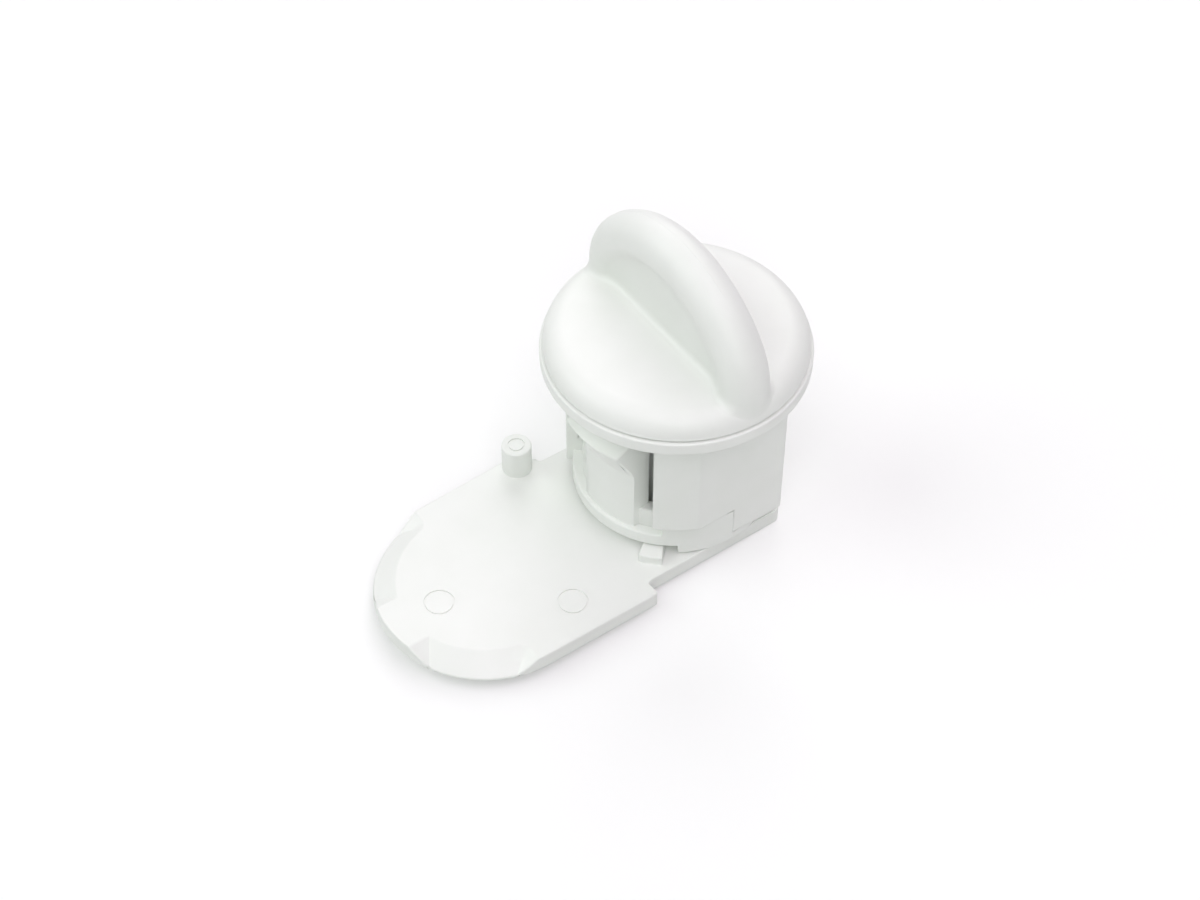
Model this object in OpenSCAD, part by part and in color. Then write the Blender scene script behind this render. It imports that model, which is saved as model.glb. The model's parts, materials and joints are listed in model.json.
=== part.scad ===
// Quarter-turn thumb lock for a panel door.
// The origin is where the turning axis crosses the panel's front face, under the flange.
// +Z points along the axis to the knob, and the latch plate points along -X.

/* [Housing] */
// Radius of the body's round front, which fills the panel's cut-out
body_r = 15.2; // [14.8:0.1:15.6]
// Half of the width across the body's two side flats
flat_half = 14.15; // [13.8:0.05:14.4]
// Distance from the turning axis to the body's flat back
back_x = 8.5; // [8.4:0.1:9.5]
// Radius of the flange that rests on the panel
flange_r = 18.4; // [18.2:0.05:20]
// Thickness of the flange
flange_t = 2; // [1.5:0.1:3]
// Depth from the panel's front face to the underside of the latch plate
depth = 28; // [27:0.5:40]
// Wall thickness of the body
wall_t = 1.7; // [1.4:0.1:1.9]
// Outer radius of the core tube inside the walls
core_r = 12.2; // [11.8:0.1:12.3]
// Wall thickness of the core tube
core_wall = 1.2; // [1:0.1:1.8]
// Radius of the base collar
collar_r = 14.1; // [13.8:0.1:14.3]
// Half of the base's width at the back
foot_half = 13.4; // [13:0.05:13.8]
// Radius of the low wall on each side of the finger
low_wall_r = 12.7; // [12.4:0.05:13]
// Height of the collar's ring
ring_h = 2.1; // [1.6:0.1:2.6]
// Height of the walls' lower step over the latch plate
step_h = 6.3; // [5.6:0.1:6.6]
// Height of the low wall's top over the latch plate
low_wall_h = 7.1; // [6.9:0.1:7.6]
// Angle from +X at which the two side walls end
wall_angle = 137; // [134:1:142]
// Angle from +X at which the collar's ring begins
ring_angle = 132; // [128:1:134]
// Angle from +X at which the stop foot ends
foot_angle = 123; // [118:1:126]

/* [Snap finger] */
// Radius of the barb's edge
barb_r = 16.15; // [15.9:0.05:16.6]
// Depth of the barb's edge under the panel's front face
barb_z = 6; // [5:0.1:7]
// Height of the lead-in ramp under the barb's edge
barb_lead = 5.6; // [4:0.1:7]
// Thickness of the lip's edge beside the leg
lip_edge = 0.5; // [0.3:0.1:1]
// Side of the finger towards -Y
finger_low_y = -6.8; // [-7.4:0.1:-6]
// Where the leg's slanted side meets the barb's edge, along Y
leg_out_y = -2.1; // [-3:0.1:-1]
// Where the leg's slanted side meets its outer face, along Y
leg_in_y = 2.1; // [1:0.1:2.4]
// Side of the lip towards +Y
lip_high_y = 3.1; // [2:0.1:4]
// Radius of the leg's outer face
leg_r = 13.45; // [13.2:0.05:13.7]
// Thickness of the leg
leg_t = 2.2; // [1.8:0.1:2.3]
// Gap over the finger's top
finger_gap = 0.5; // [0.4:0.1:0.7]
// Width of the slot on each side of the finger
slot_w = 1.5; // [0.8:0.1:1.6]

/* [Knob] */
// Radius of the knob's disc
knob_r = 18; // [17:0.1:18.4]
// Thickness of the disc
knob_t = 3.25; // [3.1:0.05:5]
// Radius of the rolled upper rim
rim_roll = 3; // [1.5:0.1:3]
// Rise of the grip's crest over the disc
grip_rise = 15.6; // [12:0.1:18]
// Radius of the grip's arch at its ends, where it turns down to the rim
end_r = 12; // [10.5:0.1:14]
// Radius of the grip's round crest
crest_r = 3.4; // [2.8:0.1:4]
// Thickness of the grip at its waist
waist_t = 4.1; // [3:0.1:5]
// Radius of the hollow in each side of the grip
hollow_r = 8.2; // [6:0.1:12]

/* [Spindle and screw] */
// Radius of the spindle
spindle_r = 6; // [5.8:0.1:6.2]
// Side of the square tenon under the spindle
tenon = 8.2; // [7.4:0.1:8.2]
// Outer radius of the tube that the spindle turns in
tube_r = 8.4; // [8:0.1:8.4]
// Radius of the latch plate's hub
hub_r = 7; // [6.6:0.1:7]
// Height of the hub over the latch plate
hub_h = 4; // [3.6:0.1:4.4]
// Radius of the screw's shank
screw_r = 1.5; // [1.2:0.1:1.8]
// Length of the screw under its head
screw_l = 11; // [8:0.5:14]
// Radius of the screw's head
head_r = 3.2; // [2.8:0.1:3.4]
// Height of the screw's head
head_h = 1.5; // [1.2:0.1:1.5]

/* [Latch plate] */
// Thickness of the plate
plate_t = 2.5; // [2.4:0.1:3]
// Half of the plate's width
plate_half = 15.8; // [15.4:0.1:16.4]
// Distance from the plate's middle line to its edge on the peg's side, at the neck's step
peg_half = 16.5; // [16.4:0.1:17.5]
// Half of the neck's width under the housing
neck_half = 13.35; // [13.2:0.05:13.8]
// Distance from the turning axis to the neck's step
neck_x = 13.9; // [13.5:0.1:15]
// Distance from the turning axis to the middle of the round tip
tip_x = 31.4; // [28:0.1:40]
// Distance from the turning axis to the plate's rear end
rear_x = 9.3; // [9:0.1:10]
// Radius of the rear corners
rear_r = 1; // [0.5:0.1:2]
// Radius of the fillet in the neck's step
neck_fillet = 0.8; // [0.4:0.1:1]
// Radial length of each tip ramp
ramp_run = 3.2; // [2.6:0.1:3.4]
// Height of the edge that is left under each ramp
ramp_edge = 0.25; // [0.2:0.05:0.6]
// Half width of the full-height tongue between the ramps
tongue_half = 4; // [3.5:0.1:5]
// Distance from the tip's middle to the rear end of each ramp
ramp_end = 1.9; // [1.5:0.1:3]
// Radius of the ramps' rear corners
rear_corner = 1.6; // [1:0.1:2]
// Radius of the ramps' corners at the tongue
tongue_corner = 3; // [1:0.1:3]
// Outer radius of the ring marks on the plate
mark_r = 2.15; // [1.6:0.05:2.4]
// Width of the ring marks' groove
mark_w = 0.25; // [0.2:0.05:0.4]
// Depth of the ring marks' groove
mark_depth = 0.2; // [0.1:0.05:0.3]
// Distance from the tip's middle out to the mark at the tip
tip_mark = 7.8; // [6:0.1:9]
// Distance from the tip's middle back to the mark at the side
side_mark = 7.2; // [4:0.1:9]
// Distance of the side mark from the plate's middle line
side_mark_y = 10.3; // [8:0.1:12]
// Radius of the peg
peg_r = 2.15; // [1.8:0.05:2.2]
// Height of the peg over the plate
peg_h = 4.7; // [4:0.1:6]
// Distance from the neck's step to the peg
peg_back = 3; // [2.5:0.1:4]
// How far the peg stands out of the plate's edge
peg_out = 0.1; // [0.1:0.05:0.3]
// Outer radius of the ring mark on the peg's top
peg_ring_r = 1.25; // [0.8:0.05:1.5]
// Height of the stop block over the plate
block_h = 1.4; // [1.1:0.1:1.4]
// Outer radius of the stop block
block_r = 16.1; // [15.6:0.1:16.4]
// Angle from +X of the stop block's middle
block_angle = 223; // [221:1:225]
// Angle that the stop block spans
block_span = 12; // [8:1:14]

/* [Hidden] */
$fn = 96;

// Clearances
run_gap = 0.05;
slide_gap = 0.15;
plate_gap = 0.3;
side_gap = 0.3;
key_gap = 0.05;
cut = 1;
far = 60;

// Heights along the turning axis
plate_low = -depth;
plate_top = plate_low + plate_t;
foot_z = plate_top + plate_gap;
ring_z = plate_top + block_h + plate_gap;
ring_top = ring_z + ring_h;
step_z = plate_top + step_h;
low_wall_z = plate_top + low_wall_h;
hub_top = plate_top + hub_h;
tube_z = hub_top + slide_gap;
knob_z = flange_t + slide_gap;
disc_z = knob_z + knob_t;
cavity_top = -flange_t;

// Housing
bore_r = spindle_r + run_gap;
hub_bore_r = hub_r + side_gap;
cavity_r = core_r - core_wall;
leg_in_r = leg_r - leg_t;
finger_top = cavity_top - finger_gap;

// Knob: along the grip, a wide arch and two tighter ends meet on lines from the arch's centre
grip_inset = 0.08;
meet_line = [0.8, 0.6];
end_y = knob_r - grip_inset - end_r;
arch_r = end_r + end_y / meet_line[0];
arch_z = disc_z + grip_rise - arch_r;
end_z = arch_z + end_y * meet_line[1] / meet_line[0];
grip_z = knob_z + (knob_t - rim_roll) / 2;

// Across the grip, the round crest runs into a hollow in each side, down to the waist
hollow_bite = 0.1;
hollow_reach = hollow_r + crest_r - hollow_bite;
hollow_y = hollow_r + waist_t / 2;
hollow_drop = to_hundredths(sqrt(hollow_reach * hollow_reach - hollow_y * hollow_y));
meet_share = (hollow_reach * hollow_reach + hollow_r * hollow_r - crest_r * crest_r)
    / (2 * hollow_reach * hollow_reach);
meet_half = hollow_y * (1 - meet_share);

// Screw
recess_h = head_h + slide_gap;
recess_r = head_r + side_gap;
floor_t = 1.4;
socket_z = plate_low + recess_h + floor_t;
tenon_z = socket_z + key_gap;
pilot_r = screw_r + key_gap;
head_z = plate_low + slide_gap;
drive_w = 0.9;
drive_l = 3.6;
drive_h = 0.9;

// Latch plate: the ramps' walls all have one slope
ramp_slope = ramp_run / (plate_t - ramp_edge);
ramp_in_r = plate_half - ramp_run;
peg_x = -neck_x - peg_back;
peg_edge = peg_half - (peg_half - plate_half) * peg_back / (tip_x - neck_x);
peg_y = peg_edge - peg_r + peg_out;
marks = [[-tip_x - tip_mark, 0], [-tip_x + side_mark, -side_mark_y]];
block_in_r = core_r + side_gap;

// A length rounded to hundredths
function to_hundredths(value) = round(value * 100) / 100;

// The part of the plan round +X, up to plus and minus the given angle
module rear_sector(angle) {
    difference() {
        square(2 * far, center = true);
        front_sector(angle);
    }
}

// The part of the plan round -X, beyond plus and minus the given angle
module front_sector(angle) {
    polygon([
        [0, 0],
        far * [cos(angle), sin(angle)],
        [-far, far],
        [-far, -far],
        far * [cos(angle), -sin(angle)]
    ]);
}

// A plan with a round front, two flat sides and a flat back
module d_plan(round_r, half, back) {
    intersection() {
        union() {
            circle(round_r);
            translate([0, -half]) square([back, 2 * half]);
        }
        translate([-far, -half]) square([far + back, 2 * half]);
    }
}

// Plan of the stop foot: round, with square corners at the back
module foot_plan() {
    intersection() {
        union() {
            circle(collar_r);
            translate([0, -foot_half]) square([back_x, 2 * foot_half]);
        }
        translate([-far, -far]) square([far + back_x, 2 * far]);
    }
}

module flange() {
    cylinder(r = flange_r, h = flange_t);
}

// Outer tube of the core, cut flat at the back and open behind the finger
module core() {
    difference() {
        translate([0, 0, foot_z]) linear_extrude(flange_t - foot_z) intersection() {
            circle(core_r);
            translate([-far, -far]) square([far + back_x, 2 * far]);
        }
        front_slab(finger_low_y - slot_w, lip_high_y + slot_w)
            translate([cavity_r - cut, low_wall_z]) square([core_r, cavity_top - low_wall_z]);
    }
}

// The two side walls and the back, from the step up to the flange
module walls() {
    translate([0, 0, step_z]) linear_extrude(flange_t - step_z) intersection() {
        difference() {
            d_plan(body_r, flat_half, back_x);
            d_plan(body_r - wall_t, flat_half - wall_t, back_x - wall_t);
        }
        rear_sector(wall_angle);
    }
}

// One level of the base, from a radius just inside the core out to the given plan
module base_level(low, high) {
    translate([0, 0, low]) linear_extrude(high - low) difference() {
        children();
        circle(cavity_r);
    }
}

// The part of the plan where the walls run on down past the step
module skirt_plan() {
    translate([0, -far]) square([far, 2 * far]);
    translate([-far, 0]) square([2 * far, far]);
}

// Collar, stop foot, low wall and the walls' lower ends
module base() {
    base_level(foot_z, low_wall_z) intersection() {
        foot_plan();
        rear_sector(foot_angle);
    }
    base_level(ring_z, low_wall_z) intersection() {
        circle(collar_r);
        rear_sector(ring_angle);
        front_sector(foot_angle);
    }
    base_level(ring_z, step_z) intersection() {
        d_plan(body_r, flat_half, back_x);
        rear_sector(wall_angle);
        skirt_plan();
    }
    base_level(ring_z, ring_top) intersection() {
        circle(collar_r);
        front_sector(ring_angle);
    }
    base_level(ring_top, low_wall_z) intersection() {
        circle(low_wall_r);
        front_sector(ring_angle);
    }
}

// Part of a turned shape between two planes across Y, on the -X side
module front_slab(low_y, high_y) {
    intersection() {
        rotate_extrude() children();
        translate([-far, low_y, -far]) cube([far, high_y - low_y, 2 * far]);
    }
}

// Plan of the leg, with one side across Y and one that slants in as far as the lip's side
module leg_plan() {
    out_end = [-sqrt(barb_r * barb_r - leg_out_y * leg_out_y), leg_out_y];
    in_end = [-sqrt(leg_r * leg_r - leg_in_y * leg_in_y), leg_in_y];
    slant = in_end - out_end;
    polygon([
        [-far, finger_low_y],
        [0, finger_low_y],
        [0, lip_high_y],
        in_end + slant * (lip_high_y - leg_in_y) / slant[1],
        out_end - slant
    ]);
}

// Leg with its barb, and the lip that reaches past the leg
module finger() {
    intersection() {
        rotate_extrude() polygon([
            [leg_in_r, ring_top - cut],
            [leg_r, ring_top - cut],
            [leg_r, -barb_z - barb_lead],
            [barb_r, -barb_z],
            [leg_in_r, finger_top]
        ]);
        translate([0, 0, -far]) linear_extrude(2 * far) leg_plan();
    }
    front_slab(finger_low_y, lip_high_y) polygon([
        [leg_in_r, -barb_z - lip_edge],
        [barb_r - lip_edge, -barb_z - lip_edge],
        [barb_r, -barb_z],
        [leg_in_r, finger_top]
    ]);
}

module housing() {
    color("white") difference() {
        union() {
            flange();
            core();
            walls();
            base();
            finger();
        }
        cored_space();
        translate([0, 0, -far]) cylinder(r = bore_r, h = 2 * far);
        translate([0, 0, foot_z - cut]) cylinder(r = hub_bore_r, h = tube_z - foot_z + cut);
    }
}

// Ring-shaped hollow between the core and the spindle's tube, open underneath
module cored_space() {
    translate([0, 0, foot_z - cut]) linear_extrude(cavity_top - foot_z + cut) intersection() {
        difference() {
            circle(cavity_r);
            circle(tube_r);
        }
        translate([-far, -far]) square([far + back_x - wall_t, 2 * far]);
    }
}

// Half section of the disc
module disc_half() {
    square([knob_r - rim_roll, knob_t]);
    square([knob_r, knob_t - rim_roll]);
    intersection() {
        translate([knob_r - rim_roll, knob_t - rim_roll]) circle(rim_roll);
        square([knob_r, knob_t]);
    }
}

// Section of the grip out to the given radius: a round crest over a hollowed waist
module grip_section(edge_r) {
    crest_mid = edge_r - crest_r;
    hollow_mid = crest_mid - hollow_drop;
    translate([crest_mid, 0]) circle(crest_r);
    translate([0, -waist_t / 2]) square([crest_mid, waist_t]);
    difference() {
        translate([hollow_mid, -meet_half]) square([hollow_drop * meet_share, 2 * meet_half]);
        for (side = [-1, 1]) translate([hollow_mid, side * hollow_y]) circle(hollow_r);
    }
}

// The grip's section turned about an axis along X
module grip_ring(edge_r) {
    rotate([0, 90, 0]) rotate_extrude() grip_section(edge_r);
}

// A plate through the whole grip, with its outline across X
module grip_part() {
    rotate([90, 0, 90]) linear_extrude(2 * far, center = true) children();
}

module grip() {
    meet_y = far * meet_line[0];
    meet_z = arch_z + far * meet_line[1];
    translate([-waist_t / 2, -end_y, grip_z]) cube([waist_t, 2 * end_y, end_z + cut - grip_z]);
    intersection() {
        translate([0, 0, arch_z]) grip_ring(arch_r);
        grip_part() polygon([[-end_y, end_z], [end_y, end_z], [meet_y, meet_z], [-meet_y, meet_z]]);
    }
    for (side = [0, 1]) mirror([0, side, 0]) intersection() {
        translate([0, end_y, end_z]) grip_ring(end_r);
        grip_part() polygon([[end_y, grip_z], [meet_y, grip_z], [meet_y, meet_z], [end_y, end_z]]);
    }
}

module spindle() {
    translate([0, 0, hub_top]) cylinder(r = spindle_r, h = knob_z - hub_top + cut);
    translate([-tenon / 2, -tenon / 2, tenon_z]) cube([tenon, tenon, hub_top - tenon_z + cut]);
}

module knob() {
    color("white") difference() {
        union() {
            translate([0, 0, knob_z]) rotate_extrude() disc_half();
            grip();
            spindle();
        }
        translate([0, 0, socket_z - cut]) cylinder(r = pilot_r, h = screw_l + cut);
    }
}

// Plan of the latch plate
module plate_plan() {
    translate([-tip_x, 0]) circle(plate_half);
    polygon([
        [-tip_x, -plate_half],
        [-neck_x, -plate_half],
        [-neck_x, neck_half + neck_fillet],
        [peg_x, peg_edge],
        [-tip_x, plate_half]
    ]);
    translate([-neck_x, -neck_half]) square([neck_x + rear_x - rear_r, 2 * neck_half]);
    translate([-neck_x, -neck_half + rear_r]) square([neck_x + rear_x, 2 * (neck_half - rear_r)]);
    for (side = [-1, 1]) {
        translate([rear_x - rear_r, side * (neck_half - rear_r)]) circle(rear_r);
        mirror([0, side < 0 ? 1 : 0]) translate([-neck_x, neck_half]) difference() {
            square(neck_fillet);
            translate([neck_fillet, neck_fillet]) circle(neck_fillet);
        }
    }
}

// Profile of a cut whose wall starts at the plate's top face and slopes down and out
module slope_cut(start) {
    polygon([
        [start - ramp_slope * cut, plate_top + cut],
        [start + far, plate_top + cut],
        [start + far, plate_top - far / ramp_slope]
    ]);
}

// Space that one ramp's rounded inner corner leaves uncut, beside a cone that touches both walls
module corner_stay(corner_r, mid, toward_a, toward_b) {
    difference() {
        translate([0, 0, plate_low - cut]) linear_extrude(plate_t + 2 * cut)
            polygon([mid, mid + far * toward_a, mid + far * (toward_a + toward_b), mid + far * toward_b]);
        translate([mid[0], mid[1], plate_top - corner_r / ramp_slope])
            cylinder(r1 = 0, r2 = 2 * corner_r, h = 2 * corner_r / ramp_slope);
    }
}

// One ramp at the tip, on the +Y side, about the tip's middle
module ramp() {
    tongue_arc = ramp_in_r + tongue_corner;
    tongue_y = tongue_half + tongue_corner;
    tongue_mid = [-sqrt(tongue_arc * tongue_arc - tongue_y * tongue_y), tongue_y];
    rear_arc = ramp_in_r + rear_corner;
    rear_mid_x = ramp_end + rear_corner;
    rear_mid = [-rear_mid_x, sqrt(rear_arc * rear_arc - rear_mid_x * rear_mid_x)];
    difference() {
        intersection() {
            rotate_extrude() slope_cut(ramp_in_r);
            translate([-far, 0, 0]) rotate([90, 0, 90]) linear_extrude(far) slope_cut(tongue_half);
            rotate([90, 0, 180]) linear_extrude(far) slope_cut(ramp_end);
        }
        corner_stay(tongue_corner, tongue_mid, [0, -1], -tongue_mid / tongue_arc);
        corner_stay(rear_corner, rear_mid, [1, 0], -rear_mid / rear_arc);
    }
}

// Fine groove of a ring mark, in a top face through the origin
module ring_mark(edge_r) {
    translate([0, 0, -mark_depth]) linear_extrude(mark_depth + cut) difference() {
        circle(edge_r);
        circle(edge_r - mark_w);
    }
}

// Peg that rounds the plate's corner and stands up over it
module peg() {
    translate([peg_x, peg_y, plate_low]) difference() {
        cylinder(r = peg_r, h = plate_t + peg_h);
        translate([0, 0, plate_t + peg_h]) ring_mark(peg_ring_r);
    }
}

module stop_block() {
    rotate([0, 0, block_angle - block_span / 2]) translate([0, 0, plate_top])
        rotate_extrude(angle = block_span) translate([block_in_r, 0]) square([block_r - block_in_r, block_h]);
}

module latch_plate() {
    color("white") difference() {
        union() {
            translate([0, 0, plate_low]) linear_extrude(plate_t) plate_plan();
            translate([0, 0, plate_top]) cylinder(r = hub_r, h = hub_h);
            peg();
            stop_block();
        }
        for (side = [0, 1]) translate([-tip_x, 0, 0]) mirror([0, side]) ramp();
        for (place = marks) translate([place[0], place[1], plate_top]) ring_mark(mark_r);
        translate([0, 0, (socket_z + hub_top + cut) / 2])
            cube([tenon + 2 * key_gap, tenon + 2 * key_gap, hub_top + cut - socket_z], center = true);
        translate([0, 0, plate_low - cut]) cylinder(r = pilot_r + key_gap, h = recess_h + floor_t + 2 * cut);
        translate([0, 0, plate_low - cut]) cylinder(r = recess_r, h = recess_h + cut);
    }
}

module retaining_screw() {
    color("silver") difference() {
        union() {
            translate([0, 0, head_z]) cylinder(r = head_r, h = head_h);
            translate([0, 0, head_z + head_h - cut]) cylinder(r = screw_r, h = screw_l);
        }
        for (turn = [0, 90]) rotate([0, 0, turn])
            translate([-drive_l / 2, -drive_w / 2, head_z - cut]) cube([drive_l, drive_w, drive_h + cut]);
    }
}

housing();
knob();
latch_plate();
retaining_screw();
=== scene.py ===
"""Dresses a quarter-turn thumb lock: white moulded plastic over its CAD solids, on a white floor."""
import json
from math import cos, radians, sin, tan

import bmesh
import bpy
import numpy as np
from bpy.props import FloatProperty, FloatVectorProperty, IntProperty, PointerProperty
from mathutils import Matrix, Vector


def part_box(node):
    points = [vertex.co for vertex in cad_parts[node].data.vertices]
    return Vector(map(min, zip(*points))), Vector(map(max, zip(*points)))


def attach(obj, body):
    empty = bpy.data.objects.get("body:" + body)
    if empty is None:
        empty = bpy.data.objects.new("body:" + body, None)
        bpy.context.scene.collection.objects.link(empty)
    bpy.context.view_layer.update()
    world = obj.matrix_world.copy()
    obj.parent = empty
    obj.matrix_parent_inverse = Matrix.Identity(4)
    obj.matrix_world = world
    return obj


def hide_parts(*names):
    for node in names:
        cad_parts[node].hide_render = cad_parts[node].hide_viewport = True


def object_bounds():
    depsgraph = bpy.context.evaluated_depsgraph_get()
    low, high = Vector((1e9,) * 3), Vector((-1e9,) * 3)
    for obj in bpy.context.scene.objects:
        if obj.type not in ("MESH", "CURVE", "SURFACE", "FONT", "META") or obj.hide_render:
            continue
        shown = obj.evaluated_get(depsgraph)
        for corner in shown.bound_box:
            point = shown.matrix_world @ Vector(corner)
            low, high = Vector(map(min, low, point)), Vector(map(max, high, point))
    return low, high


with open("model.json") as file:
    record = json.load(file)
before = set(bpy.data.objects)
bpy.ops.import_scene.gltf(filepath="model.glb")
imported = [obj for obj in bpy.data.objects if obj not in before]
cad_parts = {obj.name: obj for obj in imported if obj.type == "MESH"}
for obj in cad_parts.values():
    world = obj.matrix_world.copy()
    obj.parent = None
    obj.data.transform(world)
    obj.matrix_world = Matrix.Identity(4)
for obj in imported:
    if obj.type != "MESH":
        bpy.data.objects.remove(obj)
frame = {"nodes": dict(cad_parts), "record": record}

CAD_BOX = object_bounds()

# Sizes in metres and angles at which the CAD meshes are cleaned and shaded
WELD = 2e-6
POLE_WELD = 1e-8
FLAT_ANGLE = radians(0.05)
EDGE_ANGLE = radians(30)
TUBE_EDGE_ANGLE = radians(40)

# Gap between the part's lowest point and the floor
FLOOR_GAP = 1e-5

# The mould line's ends, as angles from the top of the crest's arch
MOULD_LINE_NEAR = radians(-33)
MOULD_LINE_FAR = radians(45)

# How far out the foot's fillet may reach, as a share of the knob's radius
FILLET_REACH = 0.9985

# Where edges stay as they are. Each is an upright cylinder: a middle, a radius, a floor and a top.
HOUSING_LEFT = (
    ((0.0, 0.0), 0.0111, -0.0239, -0.0004),  # the inside
    ((-0.0152, 0.0), 0.0042, -0.0068, -0.0056),  # the finger lip's lower edges
)
KNOB_LEFT = (((0.0, 0.0), 0.0125, -0.03, -0.0004),)  # the spindle
PLATE_LEFT = (
    ((-0.0392, 0.0), 0.0023, -0.026, -0.025),  # the ring mark by the tip
    ((-0.0242, -0.0103), 0.0023, -0.026, -0.025),  # the ring mark by the neck
    ((-0.0169, 0.01433), 0.0014, -0.0215, -0.0205),  # the ring on the peg's top
    ((0.0, 0.0), 0.0075, -0.0262, -0.0205),  # the hub
)

# Where each lamp stands: degrees round from the camera, counted to its right, and degrees up
LAMPS = {
    "top": (0, 90),
    "left": (-90, 38),
    "right": (90, 58),
    "back": (180, 38),
    "front": (0, 62),
    "front_low": (0, 38),
}

bl_info = {
    "name": "Thumb lock",
    "version": (1, 0, 0),
    "blender": (4, 5, 0),
    "location": "View3D > Sidebar > Thumb lock",
    "description": "Dresses a quarter-turn thumb lock in white moulded plastic",
    "category": "Object",
}


def length(name, description, default):
    """A size in metres that a user may change."""
    return FloatProperty(name=name, description=description, default=default, unit="LENGTH", precision=5)


def colour(name, description, default):
    """A colour that a user may change."""
    return FloatVectorProperty(
        name=name, description=description, default=default, subtype="COLOR", size=3, min=0, max=1
    )


def amount(name, description, default):
    """A share from 0 to 1 that a user may change."""
    return FloatProperty(name=name, description=description, default=default, subtype="FACTOR", min=0, max=1)


def lamp(name, description, default):
    """The strength of a lamp in red, green and blue, which a user may change."""
    return FloatVectorProperty(name=name, description=description, default=default, subtype="COLOR", size=3, min=0)


class PlasticFinish(bpy.types.PropertyGroup):
    """Finish of the white moulded plastic."""

    base: colour("Base", "Colour of the plastic", (0.875, 0.885, 0.865))
    cloud: colour("Cloud", "Colour of the plastic's faint clouds", (0.845, 0.860, 0.832))
    cloud_size: length("Cloud size", "Size of the faint clouds in the colour", 0.012)
    gloss_low: amount("Roughness, glossy", "Roughness where the surface is smoothest", 0.34)
    gloss_high: amount("Roughness, dull", "Roughness where the surface is dullest", 0.5)
    gloss_size: length("Gloss size", "Size of the glossy and dull patches", 0.0025)
    grain_size: length("Grain size", "Size of the mould's fine grain", 0.00022)
    grain_depth: length("Grain depth", "Depth of the mould's fine grain", 0.000004)
    sink_size: length("Sink size", "Size of the shallow sink waves", 0.007)
    sink_depth: length("Sink depth", "Depth of the shallow sink waves", 0.00004)


class SteelFinish(bpy.types.PropertyGroup):
    """Finish of the retaining screw."""

    base: colour("Base", "Colour of the steel", (0.60, 0.60, 0.58))
    roughness: amount("Roughness", "Roughness of the steel", 0.36)
    turning_size: length("Turning size", "Distance between the turning marks", 0.00012)


class EdgeSizes(bpy.types.PropertyGroup):
    """Rounding of the moulded edges."""

    housing: length("Housing", "Radius of the housing's edges", 0.00025)
    knob: length("Knob", "Radius of the knob's edges", 0.00025)
    plate: length("Latch plate", "Radius of the latch plate's edges", 0.00018)
    screw: length("Screw", "Radius of the screw's edges", 0.0001)
    steps: IntProperty(name="Steps", description="Steps in each rounded edge", default=3, min=1, max=6)


class GripShape(bpy.types.PropertyGroup):
    """The grip on the knob, and the pieces that lie along it."""

    disc_top: length("Disc top", "Height of the disc's top face", 0.0054)
    rim_roll: length("Rim roll", "Radius of the disc's rolled rim", 0.003)
    end_r: length("End radius", "Radius of the grip's arch at its ends", 0.012)
    end_y: length("End centre", "Distance from the turning axis to the centre of each end's arch", 0.00592)
    arch_r: length("Arch radius", "Radius of the grip's arch over its middle", 0.0194)
    crest_r: length("Crest radius", "Radius of the grip's round crest", 0.0034)
    waist_t: length("Waist", "Thickness of the grip at its waist", 0.0041)
    hollow_r: length("Hollow radius", "Radius of the hollow in each side of the grip", 0.0082)
    hollow_bite: length("Hollow bite", "How far the hollow cuts into the crest", 0.0001)
    foot_fillet: length("Foot fillet", "Size of the fillet along the grip's foot", 0.0011)
    end_fillet: length("End fillet", "Size of the fillet at the ends of the grip's foot", 0.0018)
    mould_line_w: length("Mould line width", "Width of the mould line on the crest", 0.00016)
    mould_line_h: length("Mould line height", "Height of the mould line on the crest", 0.00003)


class StageLook(bpy.types.PropertyGroup):
    """Floor, light and camera."""

    floor_size: length("Floor size", "Side of the floor", 6.0)
    floor: colour("Floor", "Colour of the floor", (0.80, 0.80, 0.80))
    floor_lift: FloatProperty(name="Floor lift", description="Light that the camera sees on the floor", default=0.2)
    floor_fall: FloatProperty(
        name="Floor fall", description="Slope at which the floor falls away under the latch plate's tip",
        default=radians(2.4), unit="ROTATION",
    )
    lamp_angle: FloatProperty(
        name="Lamp softness", description="Angle that each lamp spans", default=radians(50), unit="ROTATION"
    )
    top: lamp("Top lamp", "Light from straight above", (0.18, 0.16, 0.18))
    left: lamp("Left lamp", "Low light from the camera's left", (1.05, 1.13, 1.07))
    right: lamp("Right lamp", "High light from the camera's right", (0.80, 0.76, 0.80))
    back: lamp("Back lamp", "Low light from behind", (0.98, 0.99, 0.98))
    front: lamp("Front lamp", "High light from the camera's side", (0.76, 0.64, 0.76))
    front_low: lamp("Low front lamp", "Low light from the camera's side", (0.73, 0.84, 0.73))
    look_at: FloatVectorProperty(
        name="Look at", description="Point in the middle of the view", default=(-0.00411, 0.01197, -0.028),
        subtype="XYZ", unit="LENGTH", precision=5,
    )
    azimuth: FloatProperty(
        name="Azimuth", description="Direction of the camera round the lock", default=radians(-34.97), unit="ROTATION"
    )
    elevation: FloatProperty(
        name="Elevation", description="Height of the camera over the floor", default=radians(48.43), unit="ROTATION"
    )
    distance: length("Distance", "Distance of the camera", 0.34848)
    lens: FloatProperty(name="Lens", description="Focal length in millimetres on a 36 mm sensor", default=72.0)


class ThumbLockSettings(bpy.types.PropertyGroup):
    """All settings of the thumb lock."""

    plastic: PointerProperty(type=PlasticFinish)
    steel: PointerProperty(type=SteelFinish)
    edges: PointerProperty(type=EdgeSizes)
    grip: PointerProperty(type=GripShape)
    stage: PointerProperty(type=StageLook)


def add_node(tree, kind, **inputs):
    """Adds a shader node and sets its inputs by name, with spaces for underscores."""
    made = tree.nodes.new(kind)
    for name, value in inputs.items():
        made.inputs[name.replace("_", " ")].default_value = value
    return made


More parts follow.
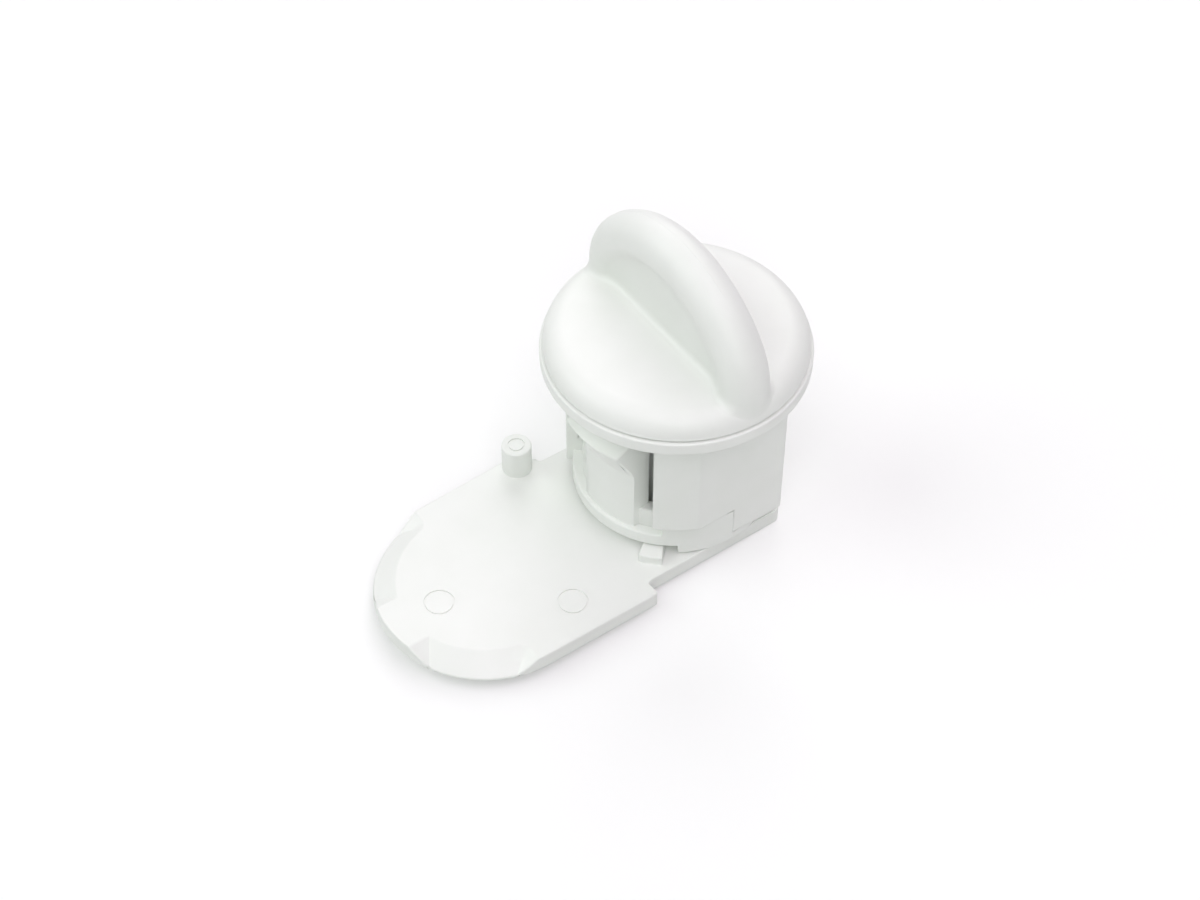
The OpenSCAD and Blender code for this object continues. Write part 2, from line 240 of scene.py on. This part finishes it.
def noise(tree, place, size, detail):
    """A noise whose features are about size across, on the given coordinates."""
    made = add_node(tree, "ShaderNodeTexNoise", Scale=1 / size, Detail=detail)
    tree.links.new(place, made.inputs["Vector"])
    return made.outputs["Fac"]


def spread(tree, value, low, high, to_low, to_high):
    """Maps a value from one range to another, held at the ends."""
    made = add_node(
        tree, "ShaderNodeMapRange", From_Min=low, From_Max=high, To_Min=to_low, To_Max=to_high
    )
    tree.links.new(value, made.inputs["Value"])
    return made.outputs["Result"]


def bump(tree, height, depth, under=None):
    """A bump of the given depth, laid over another bump if there is one."""
    made = add_node(tree, "ShaderNodeBump", Strength=1.0, Distance=depth)
    tree.links.new(height, made.inputs["Height"])
    if under is not None:
        tree.links.new(under, made.inputs["Normal"])
    return made.outputs["Normal"]


def new_material(name):
    """An empty material with a Principled shader, and its tree, shader and Object coordinates."""
    made = bpy.data.materials.new(name)
    made.use_nodes = True
    tree = made.node_tree
    shader = tree.nodes["Principled BSDF"]
    place = tree.nodes.new("ShaderNodeTexCoord").outputs["Object"]
    return made, tree, shader, place


def white_plastic(settings):
    """White moulded plastic: faint clouds in the colour, patchy gloss, a fine grain and shallow sink waves. It is made
    once and then shared."""
    if "moulded_white" in bpy.data.materials:
        return bpy.data.materials["moulded_white"]
    made, tree, shader, place = new_material("moulded_white")
    mix = tree.nodes.new("ShaderNodeMix")
    mix.data_type = "RGBA"
    colour_a, colour_b = [s for s in mix.inputs if s.type == "RGBA"]
    colour_a.default_value = (*settings.base, 1)
    colour_b.default_value = (*settings.cloud, 1)
    clouds = spread(tree, noise(tree, place, settings.cloud_size, 3), 0.35, 0.65, 0, 1)
    tree.links.new(clouds, mix.inputs[0])
    tree.links.new([s for s in mix.outputs if s.type == "RGBA"][0], shader.inputs["Base Color"])
    patches = noise(tree, place, settings.gloss_size, 4)
    gloss = spread(tree, patches, 0.3, 0.7, settings.gloss_low, settings.gloss_high)
    tree.links.new(gloss, shader.inputs["Roughness"])
    waves = bump(tree, noise(tree, place, settings.sink_size, 1), settings.sink_depth)
    grain = bump(tree, noise(tree, place, settings.grain_size, 2), settings.grain_depth, waves)
    tree.links.new(grain, shader.inputs["Normal"])
    shader.inputs["IOR"].default_value = 1.47
    return made


def turned_steel(settings):
    """Plain steel with fine turning marks: rings about the screw's axis, broken up by noise."""
    made, tree, shader, place = new_material("turned_steel")
    shader.inputs["Base Color"].default_value = (*settings.base, 1)
    shader.inputs["Metallic"].default_value = 1.0
    rings = add_node(
        tree, "ShaderNodeTexWave", Scale=1 / settings.turning_size / 10, Distortion=1.5, Detail=2.0
    )
    rings.wave_type = "RINGS"
    rings.rings_direction = "Z"
    tree.links.new(place, rings.inputs["Vector"])
    gloss = spread(
        tree, rings.outputs["Fac"], 0, 1, settings.roughness - 0.08, settings.roughness + 0.08
    )
    tree.links.new(gloss, shader.inputs["Roughness"])
    tree.links.new(bump(tree, rings.outputs["Fac"], settings.turning_size / 40), shader.inputs["Normal"])
    return made


def finish_with(obj, material):
    """The piece shows one material only, the one it is given."""
    obj.data.materials.clear()
    obj.data.materials.append(material)


def edge_turns(mesh):
    """How far the surface turns at each edge, in radians: positive over an outward edge, negative in a corner. The
    two faces of an edge are found by sorting the face corners by edge."""
    edge = np.empty(len(mesh.loops), np.int32)
    mesh.loops.foreach_get("edge_index", edge)
    start, normal, middle = (np.empty(len(mesh.polygons) * n, t) for n, t in ((1, np.int32), (3, float), (3, float)))
    mesh.polygons.foreach_get("loop_start", start)
    mesh.polygons.foreach_get("normal", normal)
    mesh.polygons.foreach_get("center", middle)
    normal, middle = normal.reshape(-1, 3), middle.reshape(-1, 3)
    face = np.searchsorted(start, np.arange(len(edge)), "right") - 1
    order = np.argsort(edge, kind="stable")
    first = np.searchsorted(edge[order], np.arange(len(mesh.edges)))
    one, two = face[order[first]], face[order[np.minimum(first + 1, len(order) - 1)]]
    turn = np.arccos(np.clip((normal[one] * normal[two]).sum(-1), -1, 1))
    return np.where(((middle[two] - middle[one]) * normal[one]).sum(-1) < 0, turn, -turn)


def rounded(node, radius, steps, left=()):
    """A copy of a CAD node, with its loose triangles joined, the seams in its flat faces cleared and its outward edges
    rounded. An edge stays as it is inside the upright cylinders in left."""
    source = frame["nodes"][node].data
    corner = np.empty(len(source.loops), np.int32)
    source.loops.foreach_get("vertex_index", corner)
    place = np.empty(len(source.vertices) * 3)
    source.vertices.foreach_get("co", place)
    mesh = bpy.data.meshes.new(node + "_moulded")
    mesh.from_pydata(place.reshape(-1, 3).tolist(), [], corner.reshape(-1, 3).tolist())
    shell = bmesh.new()
    shell.from_mesh(mesh)
    bmesh.ops.remove_doubles(shell, verts=shell.verts, dist=WELD)
    bmesh.ops.dissolve_limit(shell, angle_limit=FLAT_ANGLE, verts=shell.verts, edges=shell.edges)
    shell.to_mesh(mesh)
    shell.free()

    ends = np.empty(len(mesh.edges) * 2, np.int32)
    mesh.edges.foreach_get("vertices", ends)
    place = np.empty(len(mesh.vertices) * 3)
    mesh.vertices.foreach_get("co", place)
    middle = place.reshape(-1, 3)[ends.reshape(-1, 2)].mean(1)
    round_off = edge_turns(mesh) > EDGE_ANGLE
    for (x, y), reach, low, high in left:
        inside = np.hypot(middle[:, 0] - x, middle[:, 1] - y) < reach
        round_off &= ~(inside & (middle[:, 2] > low) & (middle[:, 2] < high))
    weight = mesh.attributes.new("bevel_weight_edge", "FLOAT", "EDGE")
    weight.data.foreach_set("value", round_off.astype(np.float32))
    mesh.polygons.foreach_set("use_smooth", np.ones(len(mesh.polygons), bool))
    mesh.set_sharp_from_angle(angle=EDGE_ANGLE)

    made = bpy.data.objects.new(node + "_moulded", mesh)
    bpy.context.scene.collection.objects.link(made)
    bevel = made.modifiers.new("rounded edges", "BEVEL")
    bevel.width = radius
    bevel.segments = steps
    bevel.limit_method = "WEIGHT"
    bevel.use_clamp_overlap = False
    bevel.loop_slide = False
    bevel.miter_outer = "MITER_ARC"
    even = made.modifiers.new("even shading", "WEIGHTED_NORMAL")
    even.keep_sharp = True
    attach(made, next(body for body, nodes in frame["record"]["behaviour"]["bodies"].items() if node in nodes))
    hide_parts(node)
    return made


def tube_mesh(name, rings, closed=False):
    """A tube from an array of rings, path by section by XYZ. A closed path joins its last ring to its first, and an
    open one has rings that shrink to a point at both ends."""
    steps, around = rings.shape[:2]
    corner = np.arange(steps * around).reshape(steps, around)
    here, there = (corner, np.roll(corner, -1, 0)) if closed else (corner[:-1], corner[1:])
    quads = np.stack([here, there, np.roll(there, -1, 1), np.roll(here, -1, 1)], -1).reshape(-1, 4)
    mesh = bpy.data.meshes.new(name)
    mesh.from_pydata(rings.reshape(-1, 3).tolist(), [], quads.tolist())
    shell = bmesh.new()
    shell.from_mesh(mesh)
    bmesh.ops.remove_doubles(shell, verts=shell.verts, dist=POLE_WELD)
    shell.to_mesh(mesh)
    shell.free()
    mesh.polygons.foreach_set("use_smooth", np.ones(len(mesh.polygons), bool))
    mesh.set_sharp_from_angle(angle=TUBE_EDGE_ANGLE)
    made = bpy.data.objects.new(name, mesh)
    bpy.context.scene.collection.objects.link(made)
    return made


def grip_half(shape, arch_z, y, z):
    """Half thickness of the grip at a point of its middle plane. The depth under the crest's outline is measured from
    the end's arch beyond the line on which the arches meet, and from the middle's arch before it. The half thickness
    is the crest's arc, then the hollow's arc, then the waist."""
    along = np.abs(y)
    rise = z - arch_z
    end_z = np.sqrt((shape.arch_r - shape.end_r) ** 2 - shape.end_y**2)
    past = along * end_z > rise * shape.end_y
    depth = np.where(
        past,
        shape.end_r - np.hypot(along - shape.end_y, rise - end_z),
        shape.arch_r - np.hypot(along, rise),
    )
    inward = depth - shape.crest_r
    apart = shape.hollow_r + shape.crest_r - shape.hollow_bite
    hollow_y = shape.hollow_r + shape.waist_t / 2
    drop = np.sqrt(apart**2 - hollow_y**2)
    meet = drop * (1 - (apart**2 + shape.hollow_r**2 - shape.crest_r**2) / (2 * apart**2))
    crest = np.sqrt(np.maximum(shape.crest_r**2 - inward**2, 0))
    hollow = hollow_y - np.sqrt(np.maximum(shape.hollow_r**2 - (inward - drop) ** 2, 0))
    half = np.where(inward < meet, crest, np.where(inward < drop, hollow, shape.waist_t / 2))
    return np.where(depth < 0, depth, half)


def disc_height(shape, knob_r, out):
    """Height of the disc at a distance from the turning axis: flat, then a quarter circle down to the rim."""
    past = np.clip(out - (knob_r - shape.rim_roll), 0, shape.rim_roll)
    return shape.disc_top - shape.rim_roll + np.sqrt(shape.rim_roll**2 - past**2)


def outermost(outside, low, high):
    """The value between low and high at which outside turns positive, by halving the step 40 times."""
    for _ in range(40):
        middle = (low + high) / 2
        beyond = outside(middle) > 0
        low, high = np.where(beyond, low, middle), np.where(beyond, middle, high)
    return (low + high) / 2


def foot_fillet(shape, knob_r, arch_z, steps=240, around=12):
    """Fillet round the grip's foot. The foot is the closed line on which the grip's side meets the disc. From each of
    its points, the section starts on the disc, a fillet's size out, and bends by the foot to the grip's side, a
    fillet's size up, as a quadratic curve. It is closed inside the knob."""
    end = outermost(
        lambda y: -grip_half(shape, arch_z, y, disc_height(shape, knob_r, y)), np.array(0.5 * knob_r), np.array(knob_r)
    )
    angle = (np.arange(steps) + 0.5) * 2 * np.pi / steps
    side = np.sign(np.cos(angle))
    y = end * np.sin(angle)
    x = side * outermost(
        lambda half: half - grip_half(shape, arch_z, y, disc_height(shape, knob_r, np.hypot(half, y))),
        np.zeros(steps),
        np.full(steps, 2 * shape.crest_r),
    )
    foot = np.stack([x, y, disc_height(shape, knob_r, np.hypot(x, y))], -1)
    ahead = np.roll(foot, -1, 0) - np.roll(foot, 1, 0)
    out = np.stack([ahead[:, 1], -ahead[:, 0]], -1) / np.hypot(ahead[:, 0], ahead[:, 1])[:, None]
    size = shape.foot_fillet + (shape.end_fillet - shape.foot_fillet) * np.abs(np.sin(angle)) ** 8

    low = foot[:, :2] + out * size[:, None]
    low *= np.minimum(1, FILLET_REACH * knob_r / np.hypot(low[:, 0], low[:, 1]))[:, None]
    low = np.concatenate([low, disc_height(shape, knob_r, np.hypot(low[:, 0], low[:, 1]))[:, None]], -1)
    top = foot[:, 2] + size
    reach = outermost(
        lambda t: np.abs(x + out[:, 0] * t) - grip_half(shape, arch_z, y + out[:, 1] * t, top), -2 * size, size
    )
    high = np.concatenate([foot[:, :2] + out * reach[:, None], top[:, None]], -1)
    t = np.linspace(0, 1, around)[None, :, None]
    curve = (1 - t) ** 2 * low[:, None] + 2 * t * (1 - t) * foot[:, None] + t**2 * high[:, None]
    under = np.concatenate([foot[:, :2] - 0.5 * out * size[:, None], foot[:, 2:] - 0.5 * size[:, None]], -1)
    return np.concatenate([curve, under[:, None]], 1)


def crest_line(shape, arch_z, width, height, steps=160, around=8):
    """Mould line along the crest: a low lens carried along the middle's arch, narrowed to a point at both
    ends, and held to the arch's own height at its top."""
    turn = np.linspace(MOULD_LINE_NEAR, MOULD_LINE_FAR, steps)
    angle = np.linspace(0, 2 * np.pi, around, endpoint=False)
    fade = np.clip((1 - np.linspace(-1, 1, steps) ** 2) * 4, 0, 1)
    across = width / 2 * fade[:, None] * np.cos(angle)
    out = shape.arch_r + height * fade[:, None] * np.sin(angle) - across**2 / (2 * shape.crest_r)
    rise = np.minimum(out * np.cos(turn)[:, None], shape.arch_r)
    return np.stack([across, out * np.sin(turn)[:, None], arch_z + rise], -1)


class THUMBLOCK_OT_housing(bpy.types.Operator):
    """Rounds the housing's edges and gives it its plastic."""

    bl_idname = "thumb_lock.housing"
    bl_label = "Housing"

    def execute(self, context):
        look = context.scene.thumb_lock
        housing = rounded("housing", look.edges.housing, look.edges.steps, HOUSING_LEFT)
        finish_with(housing, white_plastic(look.plastic))
        return {"FINISHED"}


class THUMBLOCK_OT_knob(bpy.types.Operator):
    """Rounds the knob's edges and adds the fillets at the grip's foot and the mould line on its crest."""

    bl_idname = "thumb_lock.knob"
    bl_label = "Knob"

    def execute(self, context):
        look = context.scene.thumb_lock
        plastic = white_plastic(look.plastic)
        knob = rounded("knob", look.edges.knob, look.edges.steps, KNOB_LEFT)
        finish_with(knob, plastic)
        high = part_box("knob")[1]
        arch_z = high.z - look.grip.arch_r
        made = [
            tube_mesh("grip_foot", foot_fillet(look.grip, high.x, arch_z), closed=True),
            tube_mesh(
                "grip_mould_line", crest_line(look.grip, arch_z, look.grip.mould_line_w, look.grip.mould_line_h)
            ),
        ]
        for piece in made:
            finish_with(piece, plastic)
            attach(piece, "rotor")
        return {"FINISHED"}


class THUMBLOCK_OT_latch_plate(bpy.types.Operator):
    """Rounds the latch plate's edges and gives it its plastic."""

    bl_idname = "thumb_lock.latch_plate"
    bl_label = "Latch plate"

    def execute(self, context):
        look = context.scene.thumb_lock
        plate = rounded("latch_plate", look.edges.plate, look.edges.steps, PLATE_LEFT)
        finish_with(plate, white_plastic(look.plastic))
        return {"FINISHED"}


class THUMBLOCK_OT_screw(bpy.types.Operator):
    """Rounds the screw's edges and gives it its steel."""

    bl_idname = "thumb_lock.screw"
    bl_label = "Retaining screw"

    def execute(self, context):
        look = context.scene.thumb_lock
        screw = rounded("retaining_screw", look.edges.screw, look.edges.steps)
        finish_with(screw, turned_steel(look.steel))
        return {"FINISHED"}


def seen_by_eye(tree):
    """1 for rays that the camera sees directly or in a reflection or through glass, else 0."""
    path = tree.nodes.new("ShaderNodeLightPath")
    total = path.outputs["Is Camera Ray"]
    for name in ("Is Glossy Ray", "Is Transmission Ray"):
        joined = tree.nodes.new("ShaderNodeMath")
        joined.operation = "MAXIMUM"
        tree.links.new(total, joined.inputs[0])
        tree.links.new(path.outputs[name], joined.inputs[1])
        total = joined.outputs[0]
    return total


def white_floor(settings):
    """Pale floor that takes the shadow, with a little light of its own that only the eye sees."""
    made = bpy.data.materials.new("floor")
    made.use_nodes = True
    tree = made.node_tree
    tree.nodes.clear()
    paint = add_node(tree, "ShaderNodeBsdfDiffuse", Color=(*settings.floor, 1))
    glow = add_node(tree, "ShaderNodeEmission")
    lift = tree.nodes.new("ShaderNodeMath")
    lift.operation = "MULTIPLY"
    lift.inputs[1].default_value = settings.floor_lift
    tree.links.new(seen_by_eye(tree), lift.inputs[0])
    tree.links.new(lift.outputs[0], glow.inputs["Strength"])
    both = tree.nodes.new("ShaderNodeAddShader")
    tree.links.new(paint.outputs[0], both.inputs[0])
    tree.links.new(glow.outputs[0], both.inputs[1])
    out = tree.nodes.new("ShaderNodeOutputMaterial")
    tree.links.new(both.outputs[0], out.inputs["Surface"])
    return made


def white_backdrop():
    """World that the eye sees as white, and that gives no light."""
    world = bpy.data.worlds.new("backdrop")
    world.use_nodes = True
    tree = world.node_tree
    tree.nodes.clear()
    white = add_node(tree, "ShaderNodeBackground", Color=(1, 1, 1, 1))
    tree.links.new(seen_by_eye(tree), white.inputs["Strength"])
    out = tree.nodes.new("ShaderNodeOutputWorld")
    tree.links.new(white.outputs[0], out.inputs["Surface"])
    return world


def toward(azimuth, elevation):
    """Direction that is level with the view at azimuth 0, turned round by azimuth and raised by elevation."""
    return Vector((sin(azimuth) * cos(elevation), -cos(azimuth) * cos(elevation), sin(elevation)))


class THUMBLOCK_OT_stage(bpy.types.Operator):
    """Makes the floor, the light and the camera."""

    bl_idname = "thumb_lock.stage"
    bl_label = "Stage"

    def execute(self, context):
        scene = context.scene
        look = scene.thumb_lock.stage
        scene.view_settings.view_transform = "Standard"
        scene.world = white_backdrop()

        half = look.floor_size / 2
        corners = np.array([[-1, -1], [1, -1], [1, 1], [-1, 1]]) * half
        level = CAD_BOX[0][2] - FLOOR_GAP + (corners[:, :1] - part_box("latch_plate")[1].x) * tan(look.floor_fall)
        mesh = bpy.data.meshes.new("floor")
        mesh.from_pydata(np.hstack([corners, level]).tolist(), [], [(0, 1, 2, 3)])
        floor = bpy.data.objects.new("floor", mesh)
        scene.collection.objects.link(floor)
        finish_with(floor, white_floor(look))

        for name, (round_by, rise) in LAMPS.items():
            strength = Vector(getattr(look, name))
            light = bpy.data.lights.new(name, "SUN")
            light.energy = max(strength)
            light.color = strength / max(strength)
            light.angle = look.lamp_angle
            stand = bpy.data.objects.new(name, light)
            spot = toward(look.azimuth + radians(round_by), radians(rise))
            stand.rotation_euler = spot.to_track_quat("Z", "Y").to_euler()
            scene.collection.objects.link(stand)

        to_camera = toward(look.azimuth, look.elevation)
        right = Vector((cos(look.azimuth), sin(look.azimuth), 0))
        turn = Matrix((right, to_camera.cross(right), to_camera)).transposed().to_4x4()
        lens = bpy.data.cameras.new("camera")
        lens.lens = look.lens
        lens.sensor_width = 36
        lens.sensor_fit = "HORIZONTAL"
        lens.clip_start = 0.01
        camera = bpy.data.objects.new("camera", lens)
        camera.matrix_world = Matrix.Translation(Vector(look.look_at) + look.distance * to_camera) @ turn
        scene.collection.objects.link(camera)
        scene.camera = camera
        return {"FINISHED"}


class THUMBLOCK_PT_panel(bpy.types.Panel):
    """Lists the pieces and their settings."""

    bl_idname = "THUMBLOCK_PT_panel"
    bl_label = "Thumb lock"
    bl_space_type = "VIEW_3D"
    bl_region_type = "UI"
    bl_category = "Thumb lock"

    def draw(self, context):
        look = context.scene.thumb_lock
        for operator in OPERATORS:
            self.layout.operator(operator.bl_idname)
        for group in (look.plastic, look.steel, look.edges, look.grip, look.stage):
            box = self.layout.box()
            for name in group.__annotations__:
                box.prop(group, name)


OPERATORS = (
    THUMBLOCK_OT_housing,
    THUMBLOCK_OT_knob,
    THUMBLOCK_OT_latch_plate,
    THUMBLOCK_OT_screw,
    THUMBLOCK_OT_stage,
)
CLASSES = (
    PlasticFinish, SteelFinish, EdgeSizes, GripShape, StageLook, ThumbLockSettings, *OPERATORS, THUMBLOCK_PT_panel,
)


def register():
    for each in CLASSES:
        bpy.utils.register_class(each)
    bpy.types.Scene.thumb_lock = PointerProperty(type=ThumbLockSettings)


def unregister():
    del bpy.types.Scene.thumb_lock
    for each in reversed(CLASSES):
        bpy.utils.unregister_class(each)


def main():
    register()
    bpy.ops.thumb_lock.housing()
    bpy.ops.thumb_lock.knob()
    bpy.ops.thumb_lock.latch_plate()
    bpy.ops.thumb_lock.screw()
    bpy.ops.thumb_lock.stage()


if __name__ == "__main__":
    main()
